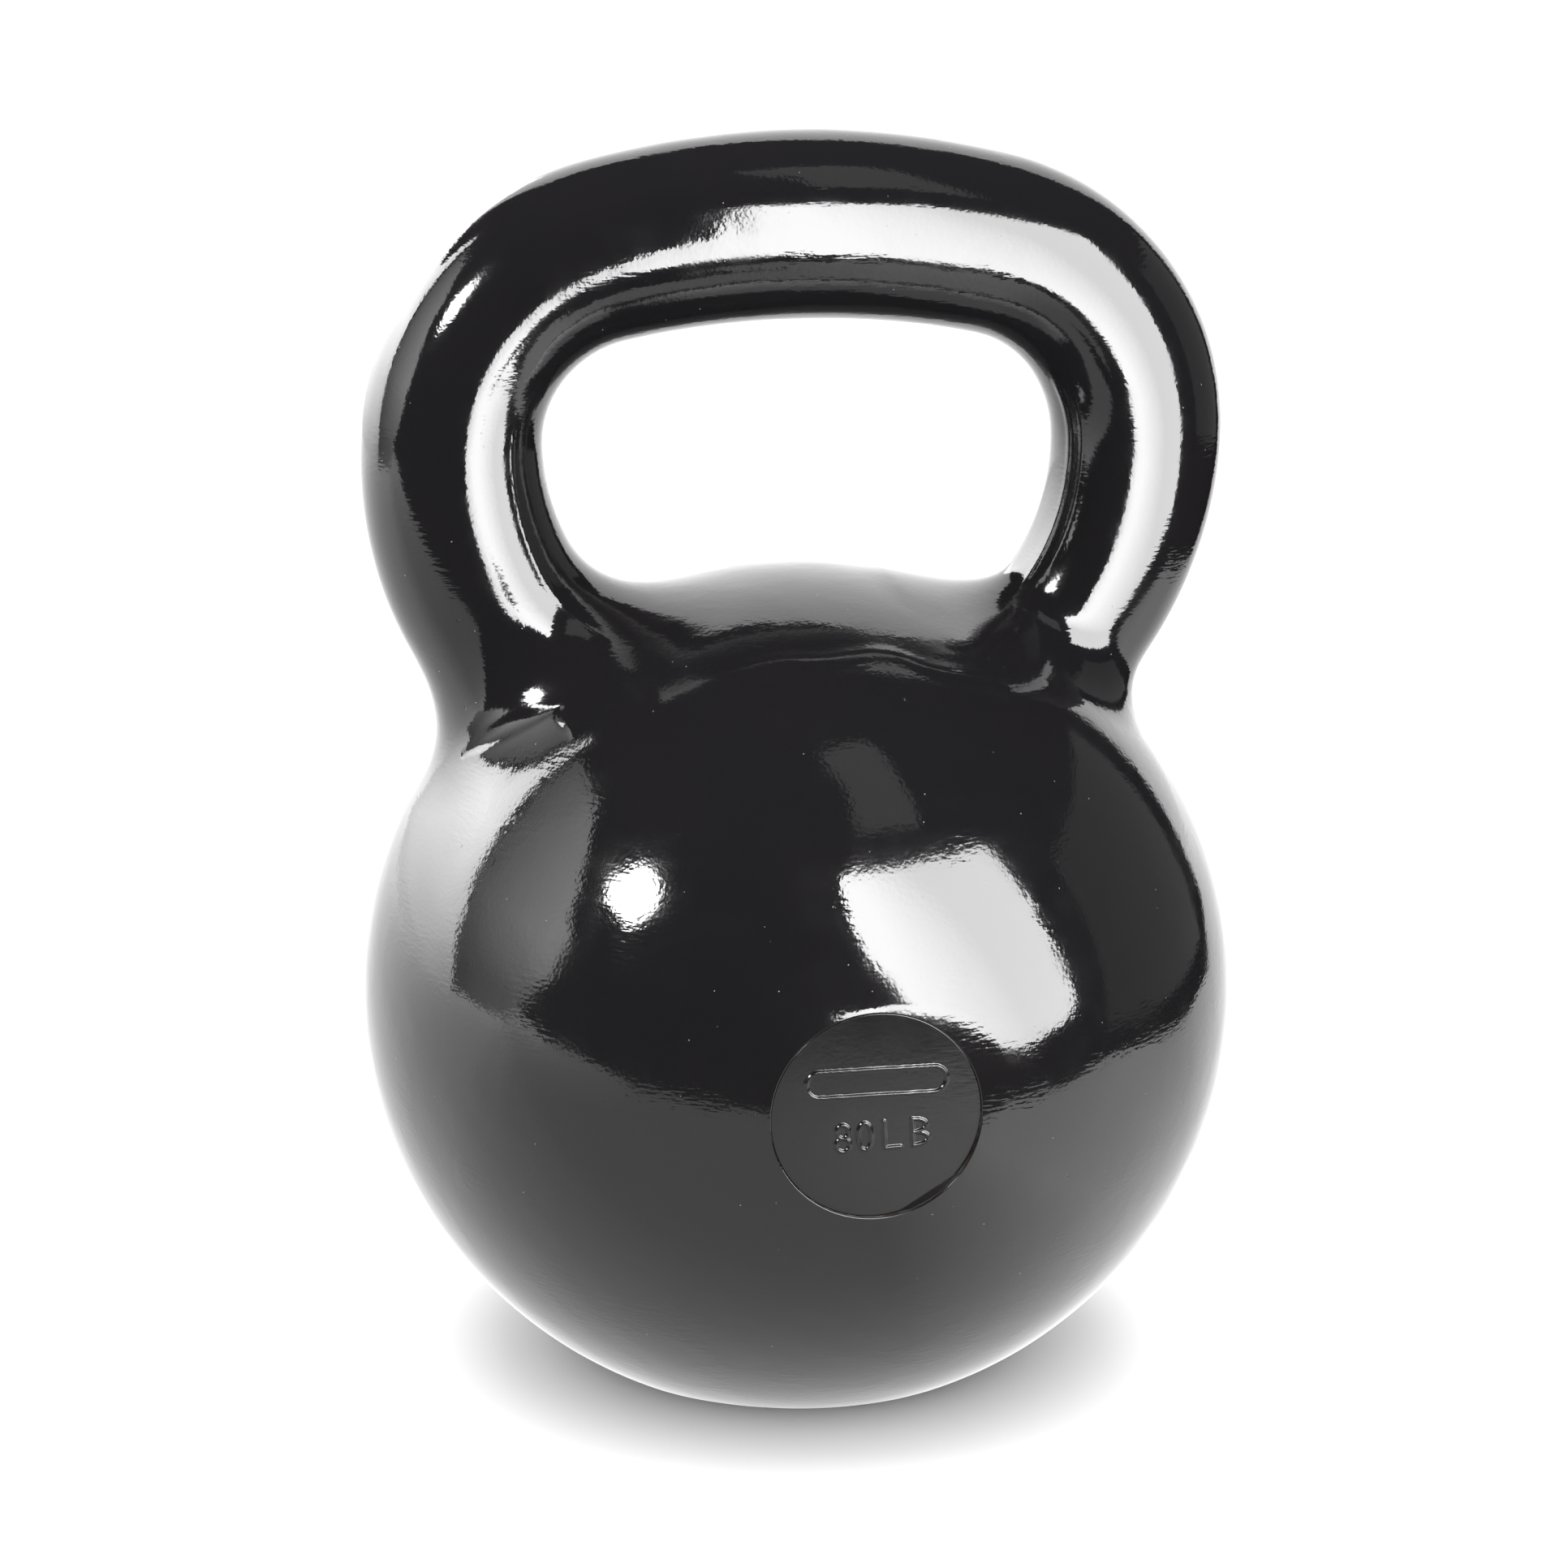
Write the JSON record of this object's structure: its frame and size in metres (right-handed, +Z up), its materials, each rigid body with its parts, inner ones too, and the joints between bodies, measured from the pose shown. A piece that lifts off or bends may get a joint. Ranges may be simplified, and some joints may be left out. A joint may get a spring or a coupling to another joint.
{
  "type": "kettlebell",
  "caption": "Heavy enamelled cast-iron kettlebell: a round ball with a flat foot, a thick closed loop handle and a round weight-marking disc on its front.",
  "frame": {"origin": "middle of the flat foot, on the surface that the kettlebell stands on", "axes": "+Z up through the handle, X along the handle loop, -Y towards the side with the marking disc"},
  "size_m": [0.2074, 0.205, 0.2934],
  "materials": {
    "bare_iron": "dull ground and cast grey iron, seen only under the foot",
    "weld_metal": "dressed weld, hidden under the enamel",
    "disc_enamel": "the same glossy black enamel over a flat disc with raised figures",
    "black_enamel": "glossy black enamel with a faint orange peel, a few pits and specks"
  },
  "bodies": {
    "root": {"ball_casting": "bare_iron", "handle_casting": "bare_iron", "left_horn_weld": "weld_metal", "right_horn_weld": "weld_metal", "marking_disc": "disc_enamel", "enamel_coat": "black_enamel"}
  },
  "joints": []
}
